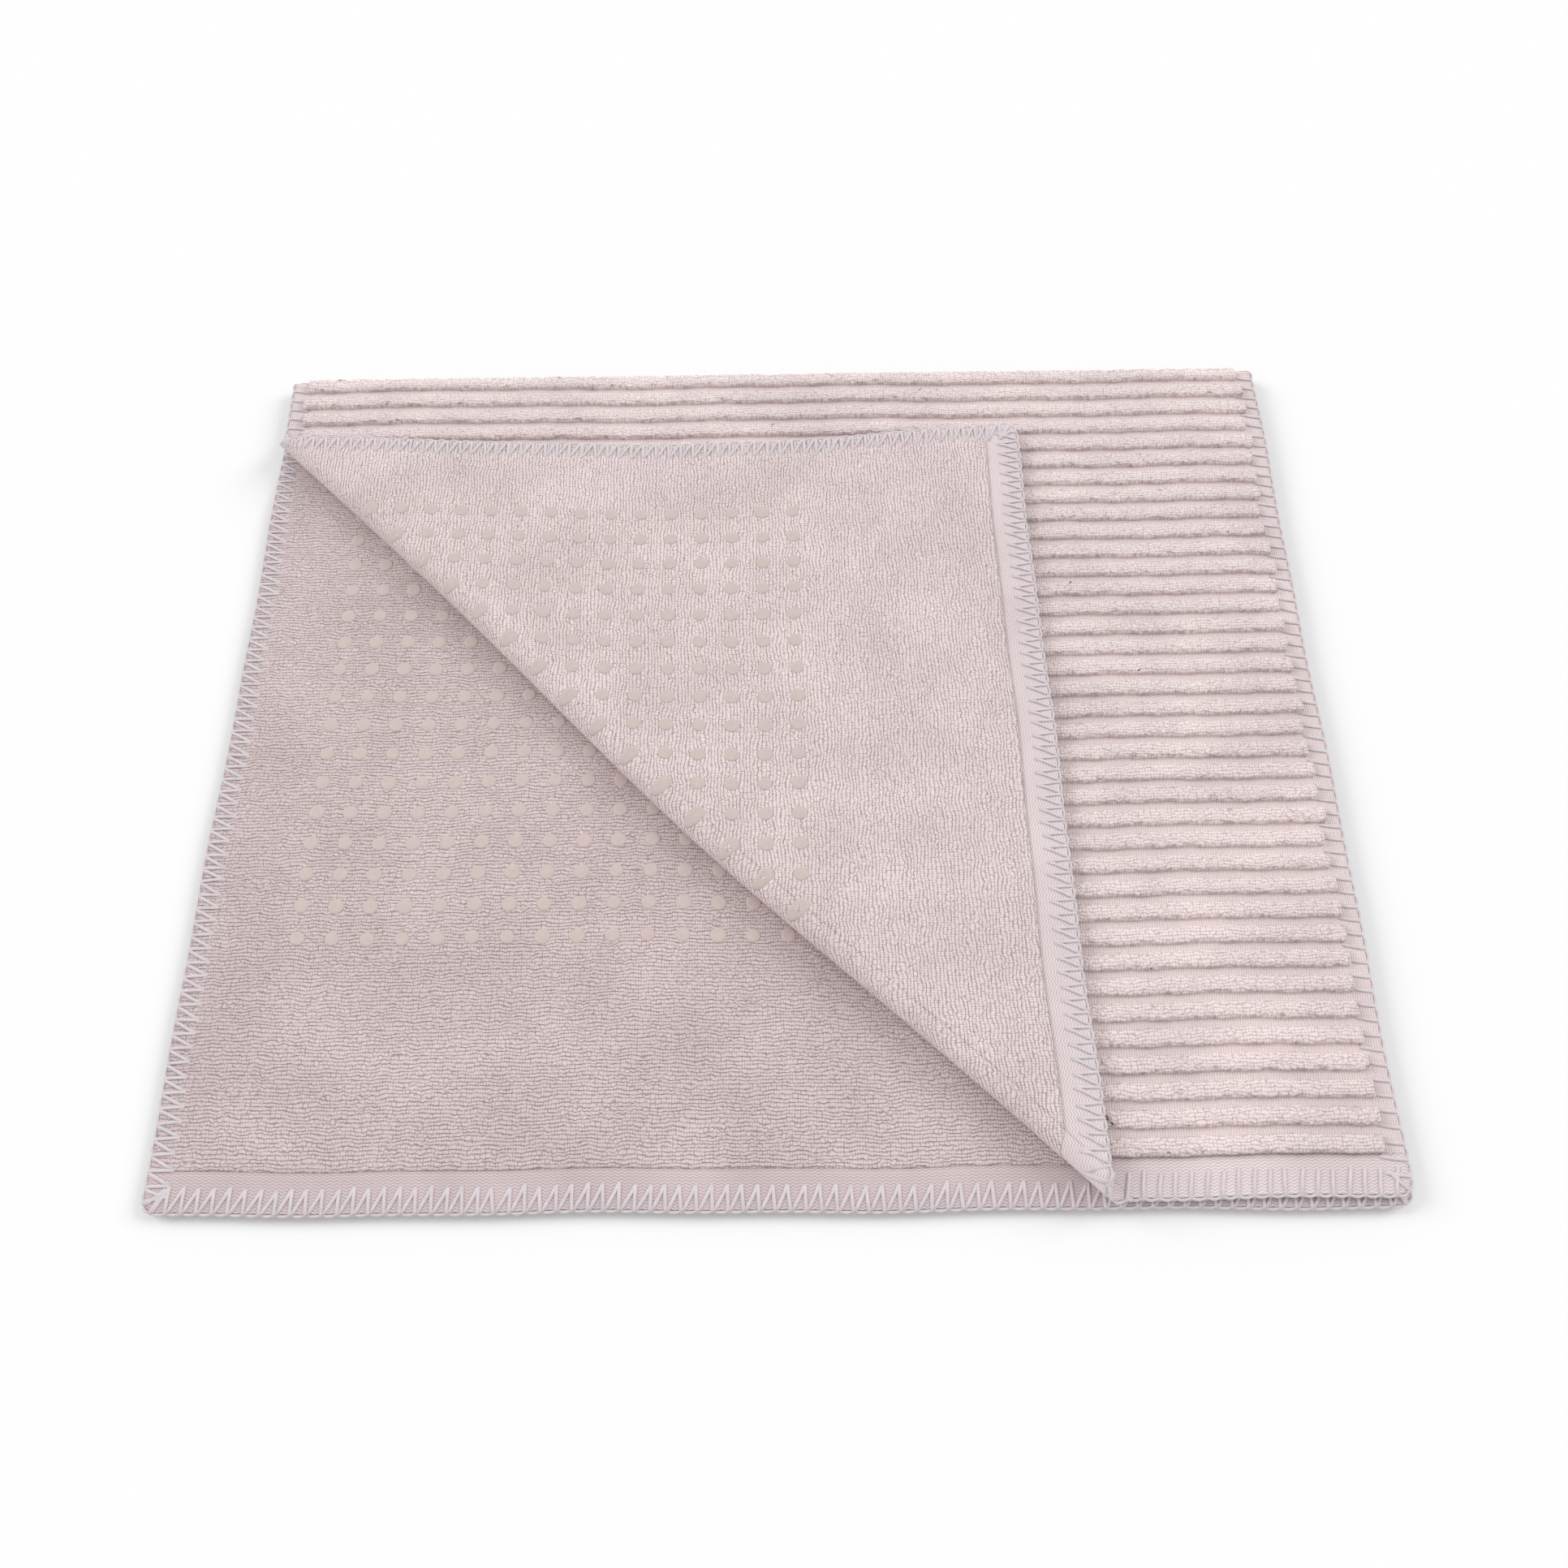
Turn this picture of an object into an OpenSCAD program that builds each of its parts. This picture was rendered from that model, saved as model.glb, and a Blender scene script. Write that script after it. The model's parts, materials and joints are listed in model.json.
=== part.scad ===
// Anti-slip terry bath mat, folded in half with one corner of the upper half turned back.
// Every piece is laid out on the open mat first: u runs across it, v along it, and z is up from
// the tips of the pile ribs, with the anti-slip dots on top. It is then folded into place.

/* [Mat] */
// Width of the open mat, across the ribs' length
mat_w = 600; // [500:5:900]
// Length of the open mat, from one hemmed end to the other
mat_l = 1000; // [700:5:1240]
// Radius of the mat's four corners
corner_r = 8; // [4:0.5:20]

/* [Cloth] */
// Thickness of the woven ground with the short loops of the dotted side
ground_t = 2.8; // [2:0.1:6]
// Thickness of the flat twill hem band, and of the terry pressed under the stitches
hem_t = 1.6; // [0.8:0.1:2]
// Depth of the flat hem band at each end of the mat
hem_d = 20; // [16:0.5:40]

/* [Pile ribs] */
// Height of a rib of loops
rib_h = 2.8; // [2:0.1:6]
// Width of a rib where it leaves the ground
rib_w = 8; // [4:0.5:12]
// Width of a rib at its flattened tip
rib_tip_w = 5.4; // [2:0.1:8]
// Spacing of the ribs along the mat
rib_pitch = 13; // [9:0.1:25]
// Clearance between the edge stitching and the ends of the ribs
rib_clear = 0.5; // [0.2:0.1:20]

/* [Anti-slip dots] */
// Diameter of a silicone dot
dot_d = 8; // [3:0.5:12]
// Height of a silicone dot
dot_h = 0.4; // [0.2:0.1:1.5]
// Spacing of the dots across the mat
dot_pitch_u = 18.1; // [12:0.1:40]
// Spacing of the dots along the mat
dot_pitch_v = 17.7; // [12:0.1:40]
// Clear band between the side edges and the centres of the first dots
dot_side = 54; // [25:1:120]
// Clear band between the ends and the centres of the first dots
dot_end = 136.5; // [30:0.5:200]

/* [Edge stitching] */
// Diameter of the corded yarn that runs along the edge
cord_d = 1.4; // [1:0.1:3]
// Thickness of a stitch where it passes over the edge
loop_t = 0.6; // [0.4:0.1:1.5]
// Thickness of a stitch where it lies flat on the cloth
yarn_t = 1; // [0.4:0.1:1.1]
// Width of a stitch across its yarn
yarn_w = 1.8; // [1:0.1:3]
// How far each stitch reaches in from the edge
stitch_bite = 13.5; // [6:0.5:15]
// Spacing of the stitches along the edge
stitch_pitch = 7.4; // [4:0.1:15]

/* [Folding] */
// How far the upper half stops short of the front edge
setback = 4; // [0:0.5:20]
// Distance from the half fold to the corner fold, along the left edge
turn_back = 50; // [30:1:250]
// How much further the corner fold reaches along the front edge than along the left edge
turn_extra = 10; // [0:1:20]
// Clearance between layers of cloth that lie on each other
layer_gap = 0.3; // [0.2:0.05:2]
// Clearance between a fold and the cloth that swings from it
fold_gap = 0.3; // [0.2:0.05:1]

/* [Hidden] */
$fn = 48;

terry_color = [0.86, 0.76, 0.75];
pile_color = [0.88, 0.78, 0.77];
hem_color = [0.84, 0.74, 0.74];
yarn_color = [0.86, 0.84, 0.89];
dot_color = [0.85, 0.72, 0.69];

// Heights through the open cloth
ground_top = rib_h + ground_t;
mid_z = rib_h + ground_t / 2;
hem_z = mid_z - hem_t / 2;
dot_top = ground_top + dot_h;
yarn_low = hem_z - yarn_t;
yarn_top = hem_z + hem_t + yarn_t;
edge = cord_d + loop_t;                 // the cloth starts inside the cord and the loops
rib_side = stitch_bite + rib_clear;

// Half fold: the two dotted sides face each other across a hinge line along u
fold_z = max(dot_top, yarn_top) + layer_gap / 2;
fold_r_in = fold_z - ground_top;
fold_r_out = fold_z - rib_h;
fold_strip = PI * (fold_r_in + fold_r_out) / 2;
fold_v = (mat_l + setback) / 2;
lower_end = fold_v - fold_strip / 2;
upper_start = fold_v + fold_strip / 2 + fold_gap;
upper_l = mat_l - fold_v;

// Corner fold: the two ribbed sides face each other across a hinge line on the diagonal
turn_side = upper_l - turn_back;        // along the left edge, from the upper half's front edge
turn_front = turn_side + turn_extra;    // along that front edge, from the left edge
turn_z = -layer_gap / 2;
turn_r_in = rib_h - turn_z;
turn_r_out = ground_top - turn_z;
turn_strip = PI * (turn_r_in + turn_r_out) / 2;
turn_angle = atan2(turn_side, turn_front);
turn_reach = 2 * (mat_l + mat_w);

// Rows of ribs and dots
rib_field = mat_l - 2 * hem_d;
rib_count = floor((rib_field - rib_w) / rib_pitch) + 1;
rib_step = (rib_field - rib_w) / (rib_count - 1);
dot_cols = floor((mat_w - 2 * dot_side) / dot_pitch_u) + 1;
dot_first_u = (mat_w - (dot_cols - 1) * dot_pitch_u) / 2;
dot_keep = dot_d / 2 + 0.1;
lower_rows = floor((lower_end - dot_end - dot_keep) / dot_pitch_v) + 1;
upper_rows = floor((mat_l - upper_start - dot_end - dot_keep) / dot_pitch_v) + 1;

// The folded mat is centred on X and Y and stands on its rib tips
folded_depth = lower_end + fold_z;
centre = [mat_w / 2, folded_depth / 2, 0];

// ---- Folding ----

// The upper half swings over about the half fold
module fold_over() {
    translate([0, fold_v, fold_z]) rotate([180, 0, 0]) translate([0, -fold_v, -fold_z]) children();
}

// Moves to the corner fold's line, with X along it and Y away from the turned corner
module on_turn_line() {
    translate([0, mat_l - turn_side, 0]) rotate([0, 0, turn_angle]) mirror([0, 1, 0]) children();
}

// The corner turns over about the corner fold
module turn_over() {
    translate([0, mat_l - turn_side, turn_z]) rotate([0, 0, turn_angle]) rotate([180, 0, 0])
        rotate([0, 0, -turn_angle]) translate([0, turn_side - mat_l, -turn_z]) children();
}

// Places a piece of each body on the folded mat
module in_lower() { translate(-centre) children(); }
module in_upper() { translate(-centre) fold_over() children(); }
module in_corner() { translate(-centre) fold_over() turn_over() children(); }

// ---- Regions of the open mat, as tall blocks ----

// One rounded corner cut, for the corner at the origin of a slab that runs to +u and +v
module corner_cut() {
    r = corner_r;
    difference() {
        translate([-1, -1, -1]) cube([r + 1, r + 1, dot_top + 2]);
        translate([r, r, -2]) cylinder(r = r, h = dot_top + 4);
    }
}

// The half of the mat before the half fold, from v_from onwards
module lower_region(v_from, side) {
    translate([side, v_from, -1]) cube([mat_w - 2 * side, lower_end - v_from, dot_top + 2]);
}

// The half of the mat beyond the half fold, up to v_to, less the strip and the turned corner
module upper_region(v_to, side) {
    difference() {
        translate([side, upper_start, -1]) cube([mat_w - 2 * side, v_to - upper_start, dot_top + 2]);
        on_turn_line() translate([-turn_reach / 2, -turn_reach, -2])
            cube([turn_reach, turn_reach + turn_strip / 2, dot_top + 4]);
    }
}

// The turned corner, up to v_to, short of the fold strip
module corner_region(v_to, side) {
    difference() {
        translate([side, mat_l - turn_side, -1]) cube([turn_front, v_to - mat_l + turn_side, dot_top + 2]);
        on_turn_line() translate([-turn_reach / 2, -turn_strip / 2 - fold_gap, -2])
            cube([turn_reach, turn_reach, dot_top + 4]);
    }
}

// ---- Pieces of the open mat ----

// A layer of the whole mat between two heights, with its corners rounded
module layer(z_low, z_high) {
    difference() {
        translate([edge, edge, z_low]) cube([mat_w - 2 * edge, mat_l - 2 * edge, z_high - z_low]);
        for (end = [0, 1], side = [0, 1])
            translate([side * mat_w, end * mat_l, 0]) mirror([side, 0, 0]) mirror([0, end, 0])
                translate([edge, edge, 0]) corner_cut();
    }
}

// Ribs of loops from the first index to the last, tapering down to their flattened tips
module ribs(first, last) {
    taper = (rib_w - rib_tip_w) / 2;
    section = [[0, rib_h], [taper, 0], [rib_w - taper, 0], [rib_w, rib_h]];
    for (i = [first : last])
        translate([rib_side, hem_d + i * rib_step, 0]) rotate([90, 0, 90])
            linear_extrude(height = mat_w - 2 * rib_side) polygon(section);
}

// Distance of a point of the open mat from the corner fold, positive on the upper half's side
function from_turn(u, v) =
    (u * turn_side + (mat_l - v) * turn_front - turn_side * turn_front) / norm([turn_side, turn_front]);

function dot_u(i) = dot_first_u + i * dot_pitch_u;
function upper_dot_v(j) = mat_l - dot_end - j * dot_pitch_v;

module one_dot(u, v) { translate([u, v, ground_top]) cylinder(d = dot_d, h = dot_h); }

// One blanket stitch round an edge that runs along u at v = 0
module stitch() {
    section = [
        [cord_d, yarn_low], [stitch_bite, yarn_low], [stitch_bite, hem_z], [edge, hem_z],
        [edge, hem_z + hem_t], [stitch_bite, hem_z + hem_t], [stitch_bite, yarn_top], [cord_d, yarn_top]
    ];
    translate([-yarn_w / 2, 0, 0]) rotate([90, 0, 90]) linear_extrude(height = yarn_w) polygon(section);
}

// Stitches and their edge cord between two places along an edge at v = 0
module stitched_edge(from, to) {
    count = floor((to - from - yarn_w) / stitch_pitch) + 1;
    first = (from + to - (count - 1) * stitch_pitch) / 2;
    for (i = [0 : count - 1]) translate([first + i * stitch_pitch, 0, 0]) stitch();
    translate([from, cord_d / 2, mid_z]) rotate([0, 90, 0]) cylinder(d = cord_d, h = to - from);
}

// The edge cord round one mat corner at the origin
module cord_corner() {
    translate([corner_r, corner_r, mid_z]) rotate([0, 0, 180]) rotate_extrude(angle = 90)
        translate([corner_r - cord_d / 2, 0]) circle(d = cord_d);
}

// Turns an edge at v = 0 into the left edge, the right edge or the far end of the mat
module at_left() { mirror([1, -1, 0]) children(); }
module at_right() { translate([mat_w, 0, 0]) mirror([1, 0, 0]) at_left() children(); }
module at_far_end() { translate([0, mat_l, 0]) mirror([0, 1, 0]) children(); }

// Where the stitching stops short of a mat corner and of the corner fold's strip
side_start = stitch_bite + layer_gap;
turn_edge_v = mat_l - turn_side - turn_strip / 2 / cos(turn_angle);
turn_edge_u = turn_front + turn_strip / 2 / sin(turn_angle);
corner_edge_v = mat_l - turn_side + (turn_strip / 2 + fold_gap) / cos(turn_angle)
    + stitch_bite * tan(turn_angle);
corner_edge_u = turn_front - (turn_strip / 2 + fold_gap) / sin(turn_angle)
    - stitch_bite / tan(turn_angle);

// ---- Lower half ----

module lower_ground() {
    color(terry_color) in_lower() union() {
        intersection() { layer(rib_h, ground_top); lower_region(hem_d, stitch_bite); }
        intersection() { layer(hem_z, hem_z + hem_t); lower_region(hem_d, edge); }
    }
}

module lower_ribs() {
    color(pile_color) in_lower() intersection() {
        ribs(0, floor((lower_end - hem_d) / rib_step));
        lower_region(hem_d, rib_side);
    }
}

module lower_hem_band() {
    color(hem_color) in_lower() intersection() {
        layer(hem_z, hem_z + hem_t);
        translate([0, 0, -1]) cube([mat_w, hem_d, dot_top + 2]);
    }
}

module lower_dots() {
    color(dot_color) in_lower()
        for (i = [0 : dot_cols - 1], j = [0 : lower_rows - 1]) one_dot(dot_u(i), dot_end + j * dot_pitch_v);
}

module lower_front_stitches() {
    color(yarn_color) in_lower() {
        stitched_edge(corner_r, mat_w - corner_r);
        cord_corner();
        translate([mat_w, 0, 0]) mirror([1, 0, 0]) cord_corner();
    }
}

module lower_left_stitches() { color(yarn_color) in_lower() at_left() stitched_edge(side_start, lower_end); }

module lower_right_stitches() { color(yarn_color) in_lower() at_right() stitched_edge(side_start, lower_end); }

// ---- Half fold ----

// The cloth that runs round the back of the fold, from one half to the other
module back_fold() {
    color(terry_color) in_lower() difference() {
        translate([edge, lower_end, fold_z]) rotate([0, 90, 0]) cylinder(r = fold_r_out, h = mat_w - 2 * edge);
        translate([0, lower_end, fold_z]) rotate([0, 90, 0]) cylinder(r = fold_r_in, h = mat_w);
        translate([0, lower_end - 2 * fold_z, -1]) cube([mat_w, 2 * fold_z, 2 * fold_z + 2]);
    }
}

// The rib that comes up over the back of the fold
module back_fold_rib() {
    color(pile_color) in_lower() intersection() {
        difference() {
            translate([rib_side, lower_end, fold_z]) rotate([0, 90, 0])
                cylinder(r = fold_z, h = mat_w - 2 * rib_side);
            translate([0, lower_end, fold_z]) rotate([0, 90, 0]) cylinder(r = fold_r_out, h = mat_w);
        }
        translate([0, lower_end, fold_z]) cube([mat_w, 2 * fold_z, 2 * fold_z]);
    }
}

// ---- Upper half ----

module upper_ground() {
    color(terry_color) in_upper() union() {
        intersection() { layer(rib_h, ground_top); upper_region(mat_l - hem_d, stitch_bite); }
        intersection() { layer(hem_z, hem_z + hem_t); upper_region(mat_l - hem_d, edge); }
    }
}

module upper_ribs() {
    color(pile_color) in_upper() intersection() {
        ribs(floor((upper_start - hem_d - rib_w) / rib_step) + 1, rib_count - 1);
        upper_region(mat_l - hem_d, rib_side);
    }
}

module upper_hem_band() {
    color(hem_color) in_upper() intersection() {
        layer(hem_z, hem_z + hem_t);
        difference() {
            upper_region(mat_l, edge);
            translate([0, 0, -2]) cube([mat_w, mat_l - hem_d, dot_top + 4]);
        }
    }
}

module upper_dots() {
    color(dot_color) in_upper()
        for (i = [0 : dot_cols - 1], j = [0 : upper_rows - 1])
            if (from_turn(dot_u(i), upper_dot_v(j)) > turn_strip / 2 + dot_keep)
                one_dot(dot_u(i), upper_dot_v(j));
}

module upper_front_stitches() {
    color(yarn_color) in_upper() {
        at_far_end() stitched_edge(turn_edge_u, mat_w - corner_r);
        at_far_end() translate([mat_w, 0, 0]) mirror([1, 0, 0]) cord_corner();
    }
}

module upper_left_stitches() { color(yarn_color) in_upper() at_left() stitched_edge(upper_start, turn_edge_v); }

module upper_right_stitches() {
    color(yarn_color) in_upper() at_right() stitched_edge(upper_start, mat_l - side_start);
}

// ---- Corner fold ----

// The cloth that rolls over along the diagonal, from the upper half to the turned corner
module corner_fold() {
    color(terry_color) in_upper() intersection() {
        on_turn_line() translate([0, turn_strip / 2, turn_z]) difference() {
            translate([-turn_reach / 2, 0, 0]) rotate([0, 90, 0]) cylinder(r = turn_r_out, h = turn_reach);
            translate([-turn_reach, 0, 0]) rotate([0, 90, 0]) cylinder(r = turn_r_in, h = 2 * turn_reach);
            translate([-turn_reach, 0, -turn_reach / 2]) cube([2 * turn_reach, turn_reach, turn_reach]);
        }
        translate([edge, 0, -turn_reach / 2]) cube([mat_w, mat_l - edge, turn_reach]);
    }
}

// ---- Turned corner ----

module corner_ground() {
    color(terry_color) in_corner() union() {
        intersection() { layer(rib_h, ground_top); corner_region(mat_l - hem_d, stitch_bite); }
        intersection() { layer(hem_z, hem_z + hem_t); corner_region(mat_l - hem_d, edge); }
    }
}

module corner_ribs() {
    color(pile_color) in_corner() intersection() {
        ribs(floor((mat_l - turn_side - hem_d) / rib_step), rib_count - 1);
        corner_region(mat_l - hem_d, rib_side);
    }
}

module corner_hem_band() {
    color(hem_color) in_corner() intersection() {
        layer(hem_z, hem_z + hem_t);
        difference() {
            corner_region(mat_l, edge);
            translate([0, 0, -2]) cube([mat_w, mat_l - hem_d, dot_top + 4]);
        }
    }
}

module corner_dots() {
    color(dot_color) in_corner()
        for (i = [0 : dot_cols - 1], j = [0 : upper_rows - 1])
            if (from_turn(dot_u(i), upper_dot_v(j)) < -turn_strip / 2 - fold_gap - dot_keep)
                one_dot(dot_u(i), upper_dot_v(j));
}

module corner_side_stitches() {
    color(yarn_color) in_corner() at_left() stitched_edge(corner_edge_v, mat_l - side_start);
}

module corner_end_stitches() {
    color(yarn_color) in_corner() at_far_end() {
        stitched_edge(corner_r, corner_edge_u);
        cord_corner();
    }
}

lower_ground();
lower_ribs();
lower_hem_band();
lower_dots();
lower_front_stitches();
lower_left_stitches();
lower_right_stitches();
back_fold();
back_fold_rib();
upper_ground();
upper_ribs();
upper_hem_band();
upper_dots();
upper_front_stitches();
upper_left_stitches();
upper_right_stitches();
corner_fold();
corner_ground();
corner_ribs();
corner_hem_band();
corner_dots();
corner_side_stitches();
corner_end_stitches();
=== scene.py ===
import json
import math

import bpy
import numpy as np
from mathutils import Matrix, Vector


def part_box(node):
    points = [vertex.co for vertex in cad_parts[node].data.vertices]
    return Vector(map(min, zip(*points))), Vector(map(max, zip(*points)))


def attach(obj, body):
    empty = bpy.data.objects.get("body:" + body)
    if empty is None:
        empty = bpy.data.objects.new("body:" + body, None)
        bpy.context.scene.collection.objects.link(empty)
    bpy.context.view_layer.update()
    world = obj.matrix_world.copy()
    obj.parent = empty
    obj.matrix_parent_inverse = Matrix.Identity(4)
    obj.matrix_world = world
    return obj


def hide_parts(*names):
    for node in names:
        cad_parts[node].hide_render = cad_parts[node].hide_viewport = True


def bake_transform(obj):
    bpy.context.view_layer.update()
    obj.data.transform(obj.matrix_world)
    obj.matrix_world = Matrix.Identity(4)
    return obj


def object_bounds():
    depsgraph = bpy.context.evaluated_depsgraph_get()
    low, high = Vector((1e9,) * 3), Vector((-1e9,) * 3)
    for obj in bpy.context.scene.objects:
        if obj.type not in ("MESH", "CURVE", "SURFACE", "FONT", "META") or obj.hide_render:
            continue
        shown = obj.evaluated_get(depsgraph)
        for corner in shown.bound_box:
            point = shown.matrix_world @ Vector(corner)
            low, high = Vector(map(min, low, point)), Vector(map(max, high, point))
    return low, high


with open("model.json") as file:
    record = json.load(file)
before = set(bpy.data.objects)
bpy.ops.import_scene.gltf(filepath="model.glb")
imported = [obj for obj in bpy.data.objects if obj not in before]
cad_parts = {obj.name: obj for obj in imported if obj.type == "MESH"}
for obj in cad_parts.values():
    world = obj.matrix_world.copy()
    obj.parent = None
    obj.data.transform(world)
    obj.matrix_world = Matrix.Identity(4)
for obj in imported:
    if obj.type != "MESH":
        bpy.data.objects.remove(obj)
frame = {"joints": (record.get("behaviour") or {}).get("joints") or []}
cad_low, cad_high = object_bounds()
scene = bpy.context.scene

# ---- View, floor and light ----
# The mat lies on a plain white floor and is looked down on from in front. A pale surround gives
# most of the light, and two wide soft lights behind it shade the front and both sides.

PITCH, YAW, ROLL = math.radians(64.91), math.radians(-1.18), math.radians(-1.67)
ahead = Vector((math.cos(PITCH) * math.sin(YAW), math.cos(PITCH) * math.cos(YAW), -math.sin(PITCH)))
level = Vector((math.cos(YAW), -math.sin(YAW), 0))
above = level.cross(ahead)
view_right = math.cos(ROLL) * level + math.sin(ROLL) * above
view_up = math.cos(ROLL) * above - math.sin(ROLL) * level
camera = bpy.data.objects.new("camera", bpy.data.cameras.new("camera"))
camera.data.lens = 30.47
camera.matrix_world = Matrix((view_right, view_up, -ahead)).transposed().to_4x4()
camera.location = (0.01266, cad_low.y - 0.0821, 0.65426)
scene.collection.objects.link(camera)
scene.camera = camera
scene.view_settings.view_transform = "Standard"


def node(tree, kind, *inputs, **settings):
    """A shader node whose first sockets take these values or links, in order, skipping each None."""
    made = tree.nodes.new("ShaderNode" + kind)
    for name, value in settings.items():
        setattr(made, name, value)
    for socket, value in zip(made.inputs, inputs):
        if isinstance(value, bpy.types.NodeSocket):
            tree.links.new(value, socket)
        elif value is not None:
            socket.default_value = value
    return made


def new_material(name, roughness, sheen=0.0):
    """A material with a Principled shader of its own, and its node tree."""
    material = bpy.data.materials.new(name)
    material.use_nodes = True
    shader = material.node_tree.nodes["Principled BSDF"]
    shader.inputs["Roughness"].default_value = roughness
    shader.inputs["Specular IOR Level"].default_value = 0.2
    shader.inputs["Sheen Weight"].default_value = sheen
    return material, material.node_tree, shader


floor_white, _, floor_shader = new_material("floor_white", 0.9)
floor_shader.inputs["Base Color"].default_value = (0.935, 0.935, 0.935, 1)
floor_shader.inputs["Specular IOR Level"].default_value = 0.0
floor_mesh = bpy.data.meshes.new("floor")
floor_mesh.from_pydata([(-4, -4, 0), (4, -4, 0), (4, 4, 0), (-4, 4, 0)], [], [(0, 1, 2, 3)])
floor_mesh.materials.append(floor_white)
floor = bpy.data.objects.new("floor", floor_mesh)
scene.collection.objects.link(floor)

world = bpy.data.worlds.new("surround")
scene.world = world
world.use_nodes = True
world.node_tree.nodes["Background"].inputs["Color"].default_value = (1.0, 1.0, 1.0, 1)
world.node_tree.nodes["Background"].inputs["Strength"].default_value = 0.70
for name, sideways in (("soft_light_left", 0.8), ("soft_light_right", -0.8)):
    lamp = bpy.data.objects.new(name, bpy.data.lights.new(name, "SUN"))
    lamp.data.energy = 1.15
    lamp.data.angle = math.radians(30)
    lamp.rotation_euler = Vector((sideways, -0.34, -0.5)).to_track_quat("-Z", "Y").to_euler()
    scene.collection.objects.link(lamp)

# ---- Terry ground ----
# One rectangle of cotton terry is the ground of the whole mat. Its dotted side is covered with short
# uncut loops in rows across the mat, and between the ribs the other side is a plain woven grid.

# Every piece is laid out on the open mat in millimetres, u across it, v along it and z up from the
# rib tips to the dots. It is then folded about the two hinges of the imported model.
MM = 0.001
hinges = {joint["name"]: joint for joint in frame["joints"]}
left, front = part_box("lower_front_stitches")[0].xy / MM
mat_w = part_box("lower_front_stitches")[1].x / MM - left
lower_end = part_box("lower_ground")[1].y / MM - front
upper_start_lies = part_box("upper_ground")[1].y / MM - front
rib_h, ground_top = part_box("lower_ground")[0].z / MM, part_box("lower_ground")[1].z / MM
hem_low, hem_top = (corner.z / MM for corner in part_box("lower_hem_band"))
hem_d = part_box("lower_hem_band")[1].y / MM - front
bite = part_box("lower_left_stitches")[1].x / MM - left   # how far in the stitches reach

fold_v = hinges["half_fold"]["pos_m"][1] / MM - front
fold_z = hinges["half_fold"]["pos_m"][2] / MM
mat_l = 2 * fold_v - (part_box("upper_front_stitches")[0].y / MM - front)
upper_start = 2 * fold_v - upper_start_lies
FOLD_REACH = 0.5   # how far the cloth stands out past the back hinge, for each unit of its radius

turn_u = hinges["corner_turn"]["pos_m"][0] / MM - left
turn_v = 2 * fold_v - (hinges["corner_turn"]["pos_m"][1] / MM - front)
turn_z = 2 * fold_z - hinges["corner_turn"]["pos_m"][2] / MM
across = np.array([-hinges["corner_turn"]["axis"][1], -hinges["corner_turn"]["axis"][0]])
turn_in = math.pi * ((rib_h + ground_top) / 2 - turn_z) / 2   # strip on the upper half's side
turn_out = turn_in + upper_start - lower_end - math.pi * (fold_z - (rib_h + ground_top) / 2)
turn_long = (mat_l - turn_v) / across[0]                      # length of the fold line
TURN_REACH = 0.25       # how far the roll stands out past the corner's hinge, for each unit of radius
SWELL_AT, SWELL_WIDTH = 0.58, 0.24   # the roll is fattest at, and over, these shares of its length
TURN_SWELL, TURN_TUCK = 0.9, 1.85    # there the reach grows by the first for each unit, less the second
TURN_BOW, BOW_WIDTH = 4.5, 110       # there the fold line bows, and takes the cloth beside it along
TURN_LIFT, LIFT_WIDTH = 1.5, 30      # the roll holds the turned cloth up, over this width beside it
TURN_SLACK = 12         # the roll takes this much more cloth than a tight fold
EDGE_SAG, SAG_LENGTH, SAG_SHAPE = 14, 540, 1.5   # the turned edge sags forwards between its corners


def from_turn(u, v):
    """Distance from the corner fold, across it, positive on the upper half's side."""
    return (u - turn_u) * across[0] + (v - turn_v) * across[1]


def turn_line(v, distance):
    """Where along u a line at this distance from the corner fold crosses v."""
    return turn_u + (distance - (v - turn_v) * across[1]) / across[0]


def drift(u, v):
    """Slow waves of a hand-laid cloth: how far a point strays along u and along v."""
    return (0.5 * np.sin(v / 41 + 0.8) + 0.35 * np.sin(v / 17 + u / 90),
            0.5 * np.sin(u / 37 + 1.9) + 0.3 * np.sin(u / 15 - v / 80))


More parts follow.
